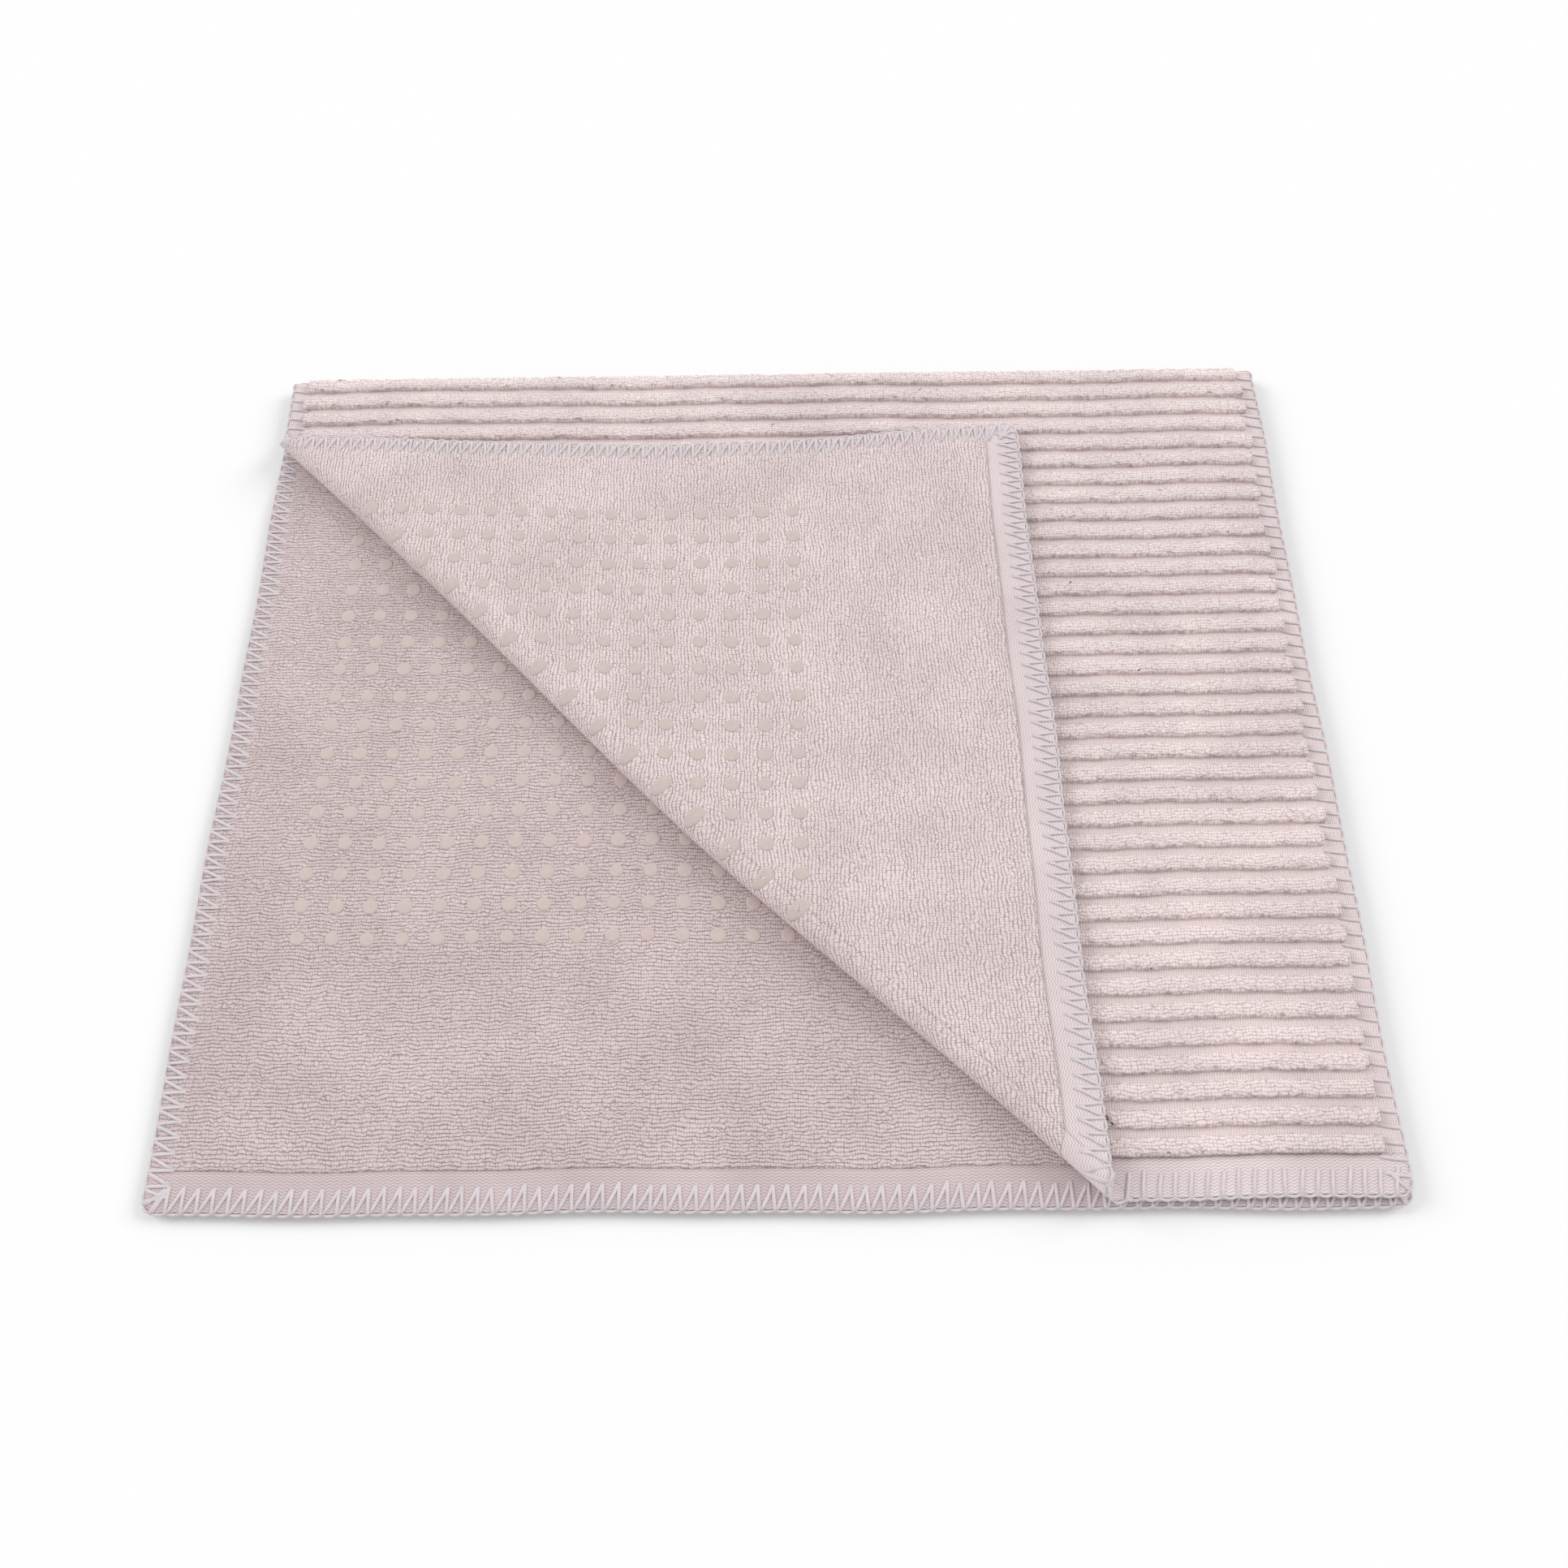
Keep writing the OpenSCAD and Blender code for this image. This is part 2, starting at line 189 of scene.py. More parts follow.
def fold_up(points):
    """Folded place, in metres, of points of the open mat. Each fold is a half turn spread over its
    strip: distance past the strip's start becomes an angle, and height becomes the radius."""
    u, v, z = points[..., 0], points[..., 1], points[..., 2]
    du, dv = drift(u, v)
    u, v = u + du, v + dv

    d = from_turn(u, v)
    share = np.clip((turn_in - d) / (turn_in + turn_out), 0, 1)
    radius = z - turn_z
    run = ((v - turn_v) * across[0] - (u - turn_u) * across[1]) / turn_long
    swell = np.exp(-((run - SWELL_AT) / SWELL_WIDTH) ** 2)
    reach = turn_in + TURN_REACH * radius + swell * (TURN_SWELL * radius - TURN_TUCK)
    edge = np.clip(v - turn_v, 1, None)
    sag = EDGE_SAG * np.sin(np.pi * np.clip(edge / SAG_LENGTH, 0, 1)) ** SAG_SHAPE
    sag = sag * np.clip(d / (across[1] * edge), 0, 1)
    moved = np.maximum(d, turn_in) + np.maximum(-turn_out - d, 0) + (turn_out - turn_in) * share
    lift = TURN_LIFT * share * np.exp(-((moved - turn_in) / LIFT_WIDTH) ** 2)
    z = turn_z + radius * np.cos(np.pi * share) - lift
    moved = moved - reach * np.sin(np.pi * share) - TURN_BOW * swell * np.exp(-(moved / BOW_WIDTH) ** 2)
    u, v = u + (moved - d) * across[0], v + (moved - d) * across[1] + sag * share

    share = np.clip((v - lower_end) / (upper_start - lower_end), 0, 1)
    radius = fold_z - z
    v = (np.minimum(v, lower_end) - np.maximum(v - upper_start, 0)
         - (lower_end - 2 * fold_v + upper_start) * share
         + (fold_v - lower_end + FOLD_REACH * radius) * np.sin(np.pi * share))
    z = fold_z - radius * np.cos(np.pi * share)
    return np.stack([u + left, v + front, z], -1) * MM


def new_piece(name, points, faces, finishes, which=None, smooth=None):
    """A folded mesh piece from points of the open mat and groups of faces with equal sides. Its map
    holds each point's u and v, so that patterns follow the cloth, with slack added round the roll."""
    corners = np.concatenate([group.ravel() for group in faces])
    sides = np.concatenate([np.full(len(group), group.shape[1]) for group in faces])
    mesh = bpy.data.meshes.new(name)
    mesh.vertices.add(len(points))
    mesh.vertices.foreach_set("co", fold_up(points).ravel())
    mesh.loops.add(len(corners))
    mesh.loops.foreach_set("vertex_index", corners.astype(np.int32))
    mesh.polygons.add(len(sides))
    mesh.polygons.foreach_set("loop_start", (np.cumsum(sides) - sides).astype(np.int32))
    if smooth is None:
        smooth = np.ones(len(sides), bool)
    mesh.polygons.foreach_set("use_smooth", smooth)
    rolled = np.clip((turn_in - from_turn(points[:, 0], points[:, 1])) / (turn_in + turn_out), 0, 1)
    place = points[:, :2] - TURN_SLACK * rolled[:, None] * across
    mesh.uv_layers.new(name="cloth").data.foreach_set("uv", (place[corners] * MM).ravel())
    for finish in finishes:
        mesh.materials.append(finish)
    if which is not None:
        mesh.polygons.foreach_set("material_index", which.astype(np.int32))
    mesh.update(calc_edges=True)
    piece = bpy.data.objects.new(name, mesh)
    scene.collection.objects.link(piece)
    return piece


def slab(name, u, v, low, top, finishes):
    """A closed slab of cloth over a grid: its dotted side above, its ribbed side below, a wall round
    the rim. The first finish covers the top and the wall, the last the underside."""
    rows, cols = u.shape
    at = np.arange(rows * cols).reshape(rows, cols)
    quads = np.stack([at[:-1, :-1], at[:-1, 1:], at[1:, 1:], at[1:, :-1]], -1).reshape(-1, 4)
    rim = np.concatenate([at[0], at[1:, -1], at[-1, -2::-1], at[-2:0:-1, 0]])
    ahead_of = np.roll(rim, -1)
    count = rows * cols
    walls = np.stack([rim + count, ahead_of + count, ahead_of, rim], -1)
    points = np.concatenate([np.stack([u, v, top], -1).reshape(-1, 3),
                             np.stack([u, v, low], -1).reshape(-1, 3)])
    under = quads[:, ::-1] + count
    which = np.concatenate([np.zeros(len(quads) + len(walls)), np.full(len(under), len(finishes) - 1)])
    smooth = np.concatenate([np.ones(len(quads)), np.zeros(len(walls)), np.ones(len(under))]).astype(bool)
    return new_piece(name, points, [quads, walls, under], finishes, which, smooth=smooth)


def ease(x, start, end):
    """Smooth step from 0 at start to 1 at end."""
    t = np.clip((x - start) / (end - start), 0, 1)
    return t * t * (3 - 2 * t)


def lumps(u, v):
    """Unevenness of the loops: crossed waves a few millimetres long, about 0 to 1 high."""
    crossed = np.sin(u * 0.9 + 2.1 * np.sin(v * 0.31)) * np.sin(v * 1.13 + 1.7 * np.sin(u * 0.23))
    slanted = np.sin(u * 0.47 - v * 0.71 + 1.3 * np.sin(u * 0.11 + v * 0.17))
    return 0.5 + 0.25 * (crossed + slanted)


def mix(tree, share, first, second):
    """A colour between two colours."""
    made = node(tree, "Mix", data_type="RGBA")
    for socket, value in ((0, share), (6, first), (7, second)):
        if isinstance(value, bpy.types.NodeSocket):
            tree.links.new(value, made.inputs[socket])
        else:
            made.inputs[socket].default_value = value
    return made.outputs[2]


def calc(tree, operation, *inputs):
    """One step of arithmetic on values or links."""
    return node(tree, "Math", *inputs, operation=operation).outputs[0]


def vector(tree, operation, *inputs):
    """One step of arithmetic on vectors or links to them."""
    return node(tree, "VectorMath", *inputs, operation=operation).outputs[0]


def new_group(name, inputs):
    """A shader node group: its tree, its input sockets and its output node, for height and painted shade.
    """
    tree = bpy.data.node_groups.new(name, "ShaderNodeTree")
    tree.interface.new_socket("Place", in_out="INPUT", socket_type="NodeSocketVector")
    for label, default in inputs.items():
        socket = tree.interface.new_socket(label, in_out="INPUT", socket_type="NodeSocketFloat")
        socket.default_value = default
    for label in ("Height", "Painted shade"):
        tree.interface.new_socket(label, in_out="OUTPUT", socket_type="NodeSocketFloat")
    return tree, tree.nodes.new("NodeGroupInput").outputs, tree.nodes.new("NodeGroupOutput").inputs


def noise(tree, place, size, detail):
    """Outputs of a flat noise pattern: its value and its colour."""
    return node(tree, "TexNoise", place, None, size, detail, noise_dimensions="2D").outputs


def centred(tree, colour):
    """A noise colour as a shift either way from nothing."""
    return vector(tree, "SUBTRACT", colour, (0.5, 0.5, 0.5))


def remap(tree, value, *bounds, **settings):
    """A value carried from the range between the first two bounds to that between the last two."""
    return node(tree, "MapRange", value, *bounds, **settings).outputs[0]


SCATTER = 0.45   # how unevenly the loops stand, from 0 in a grid to 1


def loop_rows():
    """Rows of loops: cells stretched along each row, bent by noise that is strong in some patches and
    weak in others, with a crease between the rows. The creases and the gaps between loops are
    painted darker as painted shade. Place is in millimetres."""
    tree, inputs, outputs = new_group(
        "loop_rows", {"Row spacing": 1.9, "Loop spacing": 1.3, "Disorder": 1.0, "Crease": 1.0})
    place = inputs["Place"]
    patchy = remap(tree, noise(tree, place, 0.075, 2.0)[0], 0.4, 0.68, 0.15, 1.0)
    bent = calc(tree, "MULTIPLY", patchy, inputs["Disorder"])
    stray = node(tree, "VectorMath", centred(tree, noise(tree, place, 0.42, 1.0)[1]), operation="SCALE")
    tree.links.new(calc(tree, "MULTIPLY", bent, 2.2), stray.inputs["Scale"])
    sway = vector(tree, "MULTIPLY", centred(tree, noise(tree, place, 0.09, 1.0)[1]), (0.0, 3.0, 0.0))
    strayed = vector(tree, "ADD", vector(tree, "ADD", place, stray.outputs[0]), sway)
    pitch = node(tree, "CombineXYZ", inputs["Loop spacing"], inputs["Row spacing"], 1.0).outputs[0]
    cell_at = vector(tree, "DIVIDE", strayed, pitch)
    cells = node(tree, "TexVoronoi", cell_at, None, 1.0, voronoi_dimensions="2D")
    cells.inputs["Randomness"].default_value = SCATTER
    row_at = node(tree, "SeparateXYZ", cell_at).outputs[1]
    row_at = calc(tree, "FRACT", calc(tree, "SUBTRACT", row_at, SCATTER / 2))
    from_row = calc(tree, "ABSOLUTE", calc(tree, "SUBTRACT", row_at, 0.5))
    crease = remap(tree, from_row, 0.2, 0.0, 0.0, 1.0, interpolation_type="SMOOTHSTEP")
    stretched = vector(tree, "MULTIPLY", place, (0.4, 1.0, 1.0))
    crease_depth = remap(tree, noise(tree, stretched, 0.45, 1.0)[0], 0.36, 0.64, 0.5, 1.0)
    crease = calc(tree, "MULTIPLY", calc(tree, "MULTIPLY", crease, crease_depth), inputs["Crease"])
    between = remap(tree, cells.outputs[0], 0.3, 0.66, 0.0, 1.0)
    round_tops = calc(tree, "SUBTRACT", 1.0, cells.outputs[0])
    height = calc(tree, "SUBTRACT", round_tops, calc(tree, "MULTIPLY", crease, 0.7))
    # painted shade: the creases and the gaps between loops are coloured darker where shade would fall
    painted_shade = calc(tree, "MAXIMUM", crease, calc(tree, "MULTIPLY", between, 0.75))
    tree.links.new(height, outputs["Height"])
    tree.links.new(painted_shade, outputs["Painted shade"])
    return tree


def woven_grid():
    """Plain weave: ridges of yarn along v crossed by finer ones along u, a little uneven, with the grooves
    painted darker as painted shade.
    """
    tree, inputs, outputs = new_group("woven_grid", {"Across": 1.25, "Along": 1.0})
    place = inputs["Place"]
    uneven = vector(tree, "MULTIPLY", centred(tree, noise(tree, place, 0.5, 2.0)[1]), (0.9, 0.9, 0.0))
    pitch = node(tree, "CombineXYZ", inputs["Across"], inputs["Along"], 1.0).outputs[0]
    yarn_at = vector(tree, "DIVIDE", vector(tree, "ADD", place, uneven), pitch)
    turns = node(tree, "SeparateXYZ", vector(tree, "MULTIPLY", yarn_at, (math.pi,) * 3)).outputs
    warp = calc(tree, "ABSOLUTE", calc(tree, "SINE", turns[0]))
    weft = calc(tree, "ABSOLUTE", calc(tree, "SINE", turns[1]))
    height = calc(tree, "ADD", calc(tree, "MULTIPLY", warp, 0.6), calc(tree, "MULTIPLY", weft, 0.4))
    tree.links.new(height, outputs["Height"])
    # painted shade: the grooves between the yarns are coloured darker
    tree.links.new(calc(tree, "POWER", calc(tree, "SUBTRACT", 1.0, height), 1.6), outputs["Painted shade"])
    return tree


FADE = 0.06   # the tone of the cotton wanders this far either way


def cotton(name, group, values, light, shaded_colour, depth, sheen=0.15):
    """A cotton finish: a node group's pattern in millimetres of cloth for relief and for colour, darker
    in its hollows as painted shade, with a slow change of tone over the cloth."""
    material, tree, shader = new_material(name, 0.92, sheen)
    place = vector(tree, "MULTIPLY", node(tree, "UVMap", uv_map="cloth").outputs[0], (1000, 1000, 1000))
    pattern = node(tree, "Group", node_tree=group)
    tree.links.new(place, pattern.inputs["Place"])
    for label, value in values.items():
        pattern.inputs[label].default_value = value
    tone = remap(tree, noise(tree, place, 0.02, 3.0)[0], 0.3, 0.7, 1 - FADE, 1 + FADE)
    # painted shade: the hollows of the pattern take the darker, shaded colour
    color = mix(tree, pattern.outputs["Painted shade"], (*light, 1), (*shaded_colour, 1))
    toned = node(tree, "VectorMath", color, operation="SCALE")
    tree.links.new(tone, toned.inputs["Scale"])
    tree.links.new(toned.outputs[0], shader.inputs["Base Color"])
    relief = node(tree, "Bump", 1.0, depth * MM)
    tree.links.new(pattern.outputs["Height"], relief.inputs["Height"])
    tree.links.new(relief.outputs[0], shader.inputs["Normal"])
    return material


loops = loop_rows()
terry = cotton("terry", loops, {}, (0.72, 0.60, 0.60), (0.34, 0.25, 0.255), 0.4)
# painted light: the turned corner's terry is the same cloth as the rest, painted lighter where more light
# falls on it
terry_painted_lighter = cotton("terry_painted_lighter", loops, {}, (0.83, 0.71, 0.705), (0.41, 0.31, 0.315), 0.4)
weave = cotton("weave", woven_grid(), {}, (0.85, 0.735, 0.73), (0.48, 0.375, 0.375), 0.25)

CLOTH_EDGE = 1.2      # the cloth stops inside the cord of the edging
CELL = 2.75           # size of the cloth's grid cells
PILE, UNEVEN = 0.16, 0.22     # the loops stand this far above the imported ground, and vary by this
PRESSED, RISE = 0.15, 4       # the stitches press the loops in this far, and let them rise over this
PILE_RISE, PAST_BITE = 0.9, 0.5   # they rise over this after a hem, and are free this far past a stitch


def terry_top(u, v):
    """Height of the loops: flat under the stitches, rising inside them and straight after a hem."""
    side = np.minimum(u, mat_w - u)
    rise = ease(side, bite - RISE, bite + PAST_BITE)
    start = ease(np.minimum(v, mat_l - v), hem_d, hem_d + PILE_RISE)
    top = ground_top + PILE + UNEVEN * (lumps(u, v) - 0.5)
    return hem_top - PRESSED + start * (PRESSED + rise * (top - hem_top))


def weave_low(u, v):
    """Underside of the ground, pressed up under the stitches."""
    side = np.minimum(u, mat_w - u)
    return hem_low - (hem_low - rib_h) * ease(side, bite - RISE / 2, bite + PAST_BITE)


def steps(start, end):
    """Even steps of about one cell between two places."""
    return np.linspace(start, end, int(np.ceil(abs(end - start) / CELL)) + 1)


def field(v, u_from, u_to):
    """A grid whose rows lie at these v and run between two bounds along u."""
    u_from, u_to = u_from + 0 * v, u_to + 0 * v
    cols = int(np.ceil((u_to - u_from).max() / CELL)) + 1
    u = u_from[:, None] + (u_to - u_from)[:, None] * np.linspace(0, 1, cols)
    return u, np.repeat(v[:, None], cols, 1)


pile_start = np.array([0, 0.3, 0.8, 1.6])   # rows close together where the loops rise
far_hem = mat_l - hem_d
kink = turn_v - turn_in / -across[1]    # where the upper half's cut leaves its left edge
apex = turn_v + turn_out / -across[1]   # where the turned corner's cut meets it
HEM_GAP, TIP_GAP = 3, 2                 # even rows start this far from a hem, and from the corner's tip

lower_v = np.concatenate([hem_d + pile_start, steps(hem_d + HEM_GAP, lower_end)])
u, v = field(lower_v, CLOTH_EDGE, mat_w - CLOTH_EDGE)
lower_cloth = slab("lower_terry", u, v, weave_low(u, v), terry_top(u, v), [terry, weave])

upper_v = np.concatenate([steps(upper_start, kink), steps(kink, far_hem - HEM_GAP)[1:],
                          far_hem - pile_start[::-1]])
u, v = field(upper_v, np.maximum(CLOTH_EDGE, turn_line(upper_v, turn_in)), mat_w - CLOTH_EDGE)
upper_cloth = slab("upper_terry", u, v, weave_low(u, v), terry_top(u, v), [terry, weave])

corner_v = np.concatenate([steps(apex + TIP_GAP, far_hem - HEM_GAP), far_hem - pile_start[::-1]])
u, v = field(corner_v, CLOTH_EDGE, turn_line(corner_v, -turn_out))
# the turned corner takes the terry painted lighter: painted light
corner_cloth = slab("corner_terry", u, v, weave_low(u, v), terry_top(u, v), [terry_painted_lighter, weave])

for piece, body, node_name in ((lower_cloth, "lower_half", "lower_ground"),
                               (upper_cloth, "upper_half", "upper_ground"),
                               (corner_cloth, "turned_corner", "corner_ground")):
    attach(piece, body)
    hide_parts(node_name)

# ---- Hem bands ----
# A flat band of herringbone twill closes each end of the mat. It is woven in one piece with the
# terry and is the ground that the blanket stitch is worked over.


def herringbone():
    """Twill: slanting ridges whose slant turns back at every chevron, with the grooves painted darker as
    painted shade.
    """
    tree, inputs, outputs = new_group("herringbone", {"Chevron": 1.7, "Line": 1.5})
    place = node(tree, "SeparateXYZ", inputs["Place"]).outputs
    zigzag = calc(tree, "MULTIPLY", calc(tree, "PINGPONG", place[0], inputs["Chevron"]), 0.6)
    line = calc(tree, "DIVIDE", calc(tree, "ADD", place[1], zigzag), inputs["Line"])
    height = calc(tree, "ABSOLUTE", calc(tree, "SINE", calc(tree, "MULTIPLY", line, math.pi)))
    tree.links.new(height, outputs["Height"])
    # painted shade: the grooves between the twill's ridges are coloured darker
    tree.links.new(calc(tree, "POWER", calc(tree, "SUBTRACT", 1.0, height), 2.0), outputs["Painted shade"])
    return tree


chevrons = herringbone()
twill = cotton("twill", chevrons, {}, (0.67, 0.555, 0.56), (0.44, 0.345, 0.35), 0.2)
# painted light: the upper half's and the turned corner's hems are the same twill, painted lighter where
# more light falls on them
twill_painted_lighter = cotton("twill_painted_lighter", chevrons, {}, (0.80, 0.695, 0.70), (0.54, 0.44, 0.445), 0.2)

CLOTH_CORNER = 6.8    # radius of the cloth's rounded corners
HEM_UNEVEN = 0.08     # how uneven the band lies


def hem_inset(from_end):
    """How far the rounded corners pull the hem's ends in, at this distance from the mat's end."""
    short = np.clip(CLOTH_CORNER - (from_end - CLOTH_EDGE), 0, CLOTH_CORNER)
    return CLOTH_EDGE + CLOTH_CORNER - np.sqrt(CLOTH_CORNER ** 2 - short ** 2)


# Rows from the mat's end, close together where the corner is round
hem_rows = np.array([CLOTH_EDGE + 0.05, 1.6, 2.4, 3.5, 5, 6.5, 8, 11, 14, 17, hem_d])
for name, body, rows, u_from, u_to in (
        ("lower", "lower_half", hem_rows, hem_inset(hem_rows), mat_w - hem_inset(hem_rows)),
        ("upper", "upper_half", mat_l - hem_rows[::-1], None, mat_w - hem_inset(hem_rows[::-1])),
        ("corner", "turned_corner", mat_l - hem_rows[::-1], hem_inset(hem_rows[::-1]), None)):
    u_from = turn_line(rows, turn_in) if u_from is None else u_from
    u_to = turn_line(rows, -turn_out) if u_to is None else u_to
    u, v = field(rows, u_from, u_to)
    soft = HEM_UNEVEN * (lumps(u, v) - 0.5)
    hem = slab(name + "_hem", u, v, hem_low + soft, hem_top + soft,
               [twill if name == "lower" else twill_painted_lighter])
    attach(hem, body)
    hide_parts(name + "_hem_band")

# ---- Cloth round the folds ----
# At the back fold the ribbed side runs round the outside, and along the diagonal of the turned
# corner the dotted side does. Each strip is laid in its folded shape, and inside the roll the pile is
# crushed.

BACK_STRIP, TURN_STRIP = 2.4, 4.0   # thickness of each fold's strip, measured from its outer side
TURNS = 15                          # rows round a fold
HEM_COLS = 12                       # points along the hem's strip
LAP, UNDER_LAP = 0.8, 0.06          # the rolled strip runs on this far, just under the cloth it joins
pile = cotton("pile", loops, {"Row spacing": 1.8, "Loop spacing": 1.6, "Disorder": 1.5, "Crease": 0.6},
              (0.87, 0.755, 0.745), (0.52, 0.40, 0.40), 0.4, sheen=0.2)


def bend_back(piece):
    """Bake the piece's transform into its mesh; it keeps its folded shape and is not set to bend with the
    half fold.
    """
    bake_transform(piece)


def bend_turn(piece):
    """Bake the piece's transform into its mesh; it keeps its rolled shape and is not set to bend with the
    turned corner's fold.
    """
    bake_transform(piece)


u, v = field(np.linspace(lower_end, upper_start, TURNS), CLOTH_EDGE, mat_w - CLOTH_EDGE)
back_cloth = slab("back_fold_terry", u, v, weave_low(u, v), weave_low(u, v) + BACK_STRIP, [terry, weave])
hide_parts("back_fold")
bend_back(back_cloth)

turn_d = np.linspace(turn_in, -turn_out, TURNS)
turn_d = np.concatenate([[turn_in + LAP], turn_d, [-turn_out - LAP]])[:, None]
lapped = UNDER_LAP * ((turn_d > turn_in) | (turn_d < -turn_out))
share = np.linspace(0, 1, int(mat_l / CELL))
u = CLOTH_EDGE + (turn_line(far_hem, turn_d) - CLOTH_EDGE) * share
v = turn_v + (turn_d - (u - turn_u) * across[0]) / across[1]
turn_cloth = slab("corner_fold_terry", u, v, ground_top - TURN_STRIP + 0 * u, terry_top(u, v) - lapped,
                  [terry_painted_lighter, pile])
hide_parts("corner_fold")
bend_turn(turn_cloth)

v = np.linspace(far_hem, mat_l - CLOTH_EDGE, HEM_COLS) + 0 * turn_d
u = turn_line(v, turn_d)
turn_hem = slab("corner_fold_hem", u, v, hem_low + 0 * v, hem_top - lapped + 0 * v, [twill_painted_lighter])
bend_turn(turn_hem)

# ---- Pile ribs ----
# Raised rows of long uncut loops run across the whole mat on the side that lies up in the upper
# half. Each is woven with the ground, uneven along both edges, and its ends run under the stitches.

chance = np.random.default_rng(7)
RIBS, RIB_W = 74, 8.0    # how many, and how wide each is
rib_step = (mat_l - 2 * hem_d - RIB_W) / (RIBS - 1)
rib_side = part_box("lower_ribs")[0].x / MM - left
ARCH = 9                 # points over a rib's arch
BLUNT_SIDE, BLUNT_TIP = 0.65, 0.55   # powers that square up the arch's sides and its tip
SUNK, SUNK_SIDE = 0.25, 0.8   # its base is sunk by this share of its height, at this share of its width
RIB_OVER, OVER_CHANCE = 3.4, 1.1   # ribs run on this far under the stitches, more or less
RIB_LEAN = 0.6           # the loops lean towards lower v
WANDER, NEAR_LENGTH, FAR_LENGTH = 0.55, 23, 27   # how far the two edges wander, and over what length
RIPPLE, RIPPLE_LENGTH = 0.04, 9      # how much the height changes, and over what length
LOOP_U, LOOP_V, LOOP_Z = 0.35, 0.5, 0.3   # how far chance shifts one loop each way
TIP_LEAST = 0.05         # the tallest loops stay this far above the floor's level


def waves(u, size, length, seed):
    """Slow wander along u: three sines of falling length, with phases from the seed."""
    phase = np.random.default_rng(seed).uniform(0, 6.28, 3)
    turn = 6.28 * u / length
    return size * (0.5 * np.sin(turn + phase[0]) + 0.3 * np.sin(turn / 0.43 + phase[1])
                   + 0.2 * np.sin(turn / 0.19 + phase[2]))


def rib(index, u_from, u_to, step):
    """One rib as rings of points along u: a low arch under the ground, its base sunk in the cloth,
    its edges and every loop on it shifted by chance. The bounds are functions of v."""
    v_mid = hem_d + index * rib_step + RIB_W / 2
    angle = np.linspace(0, np.pi, ARCH)
    side = -np.sign(np.cos(angle)) * np.abs(np.cos(angle)) ** BLUNT_SIDE
    side = np.concatenate([[-SUNK_SIDE], side, [SUNK_SIDE]])
    drop = np.concatenate([[-SUNK], np.sin(angle) ** BLUNT_TIP, [-SUNK]])
    v_flat = v_mid + side * RIB_W / 2 - RIB_LEAN * np.clip(-side, 0, 1)
    start = u_from(v_flat) + chance.normal(-RIB_OVER, OVER_CHANCE)
    end = u_to(v_flat) + chance.normal(RIB_OVER, OVER_CHANCE)
    count = max(3, int((end - start).max() / step))
    u = start + (end - start) * np.linspace(0, 1, count)[:, None]
    outside = drop >= 0
    jitter = chance.normal(0, 1, (3, count, ARCH + 2)) * outside
    near = waves(u, WANDER, NEAR_LENGTH, 2 * index)
    far = waves(u, WANDER, FAR_LENGTH, 2 * index + 1)
    ripple = waves(u, 1.0, RIPPLE_LENGTH, index + 500)
    v = v_flat + np.where(side < 0, near * -side, far * side) * outside + LOOP_V * jitter[0] * drop
    z = rib_h - rib_h * drop * (1 + RIPPLE * ripple) + LOOP_Z * jitter[1] * drop
    between_ends = np.abs(np.linspace(-1, 1, count)) < 1
    u = u + LOOP_U * jitter[2] * between_ends[:, None]
    return np.stack([u, v, np.maximum(z, TIP_LEAST)], -1)


def tubes(name, ringed, finish):
    """A mesh piece of closed tubes from arrays of rings of points, with flat caps."""
    points, quads, caps, first = [], [], [], 0
    for rings in ringed:
        count, around = rings.shape[:2]
        at = first + np.arange(count * around).reshape(count, around)
        beside = np.roll(at, -1, 1)
        quads.append(np.stack([at[:-1], beside[:-1], beside[1:], at[1:]], -1).reshape(-1, 4))
        caps += [at[0, ::-1], at[-1]]
        points.append(rings.reshape(-1, 3))
        first += count * around
    return new_piece(name, np.concatenate(points), [np.concatenate(quads), np.array(caps)], [finish])


# Where the ribs of each piece start or end along u, at any v
def left_side(v):
    return rib_side + 0 * v


def right_side(v):
    return mat_w - rib_side + 0 * v


def upper_cut(v):
    return np.maximum(rib_side, turn_line(v, turn_in))


def corner_cut(v):
    return turn_line(v, -turn_out)


fold_rib = int(np.ceil((lower_end - hem_d) / rib_step))
first_corner = int((apex + bite - hem_d) / rib_step) + 1
rib_groups = (
    ("lower_pile", "lower_half", "lower_ribs", range(fold_rib), left_side, right_side, 2.6),
    ("upper_pile", "upper_half", "upper_ribs", range(fold_rib + 1, RIBS), upper_cut, right_side, 1.7),
    ("corner_pile", "turned_corner", "corner_ribs", range(first_corner, RIBS), left_side, corner_cut, 2.6),
    ("back_fold_pile", None, "back_fold_rib", [fold_rib], left_side, right_side, 1.9))
for name, body, node_name, numbers, u_from, u_to, step in rib_groups:
    piece = tubes(name, [rib(number, u_from, u_to, step) for number in numbers], pile)
    if body:
        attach(piece, body)
    else:
        bend_back(piece)
    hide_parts(node_name)

# ---- Anti-slip dots ----
# Rows of soft silicone dots are printed on the terry. Each is a low dome, smooth and a little warmer
# than the cotton, and the dots on the rolled diagonal lie curved round it.

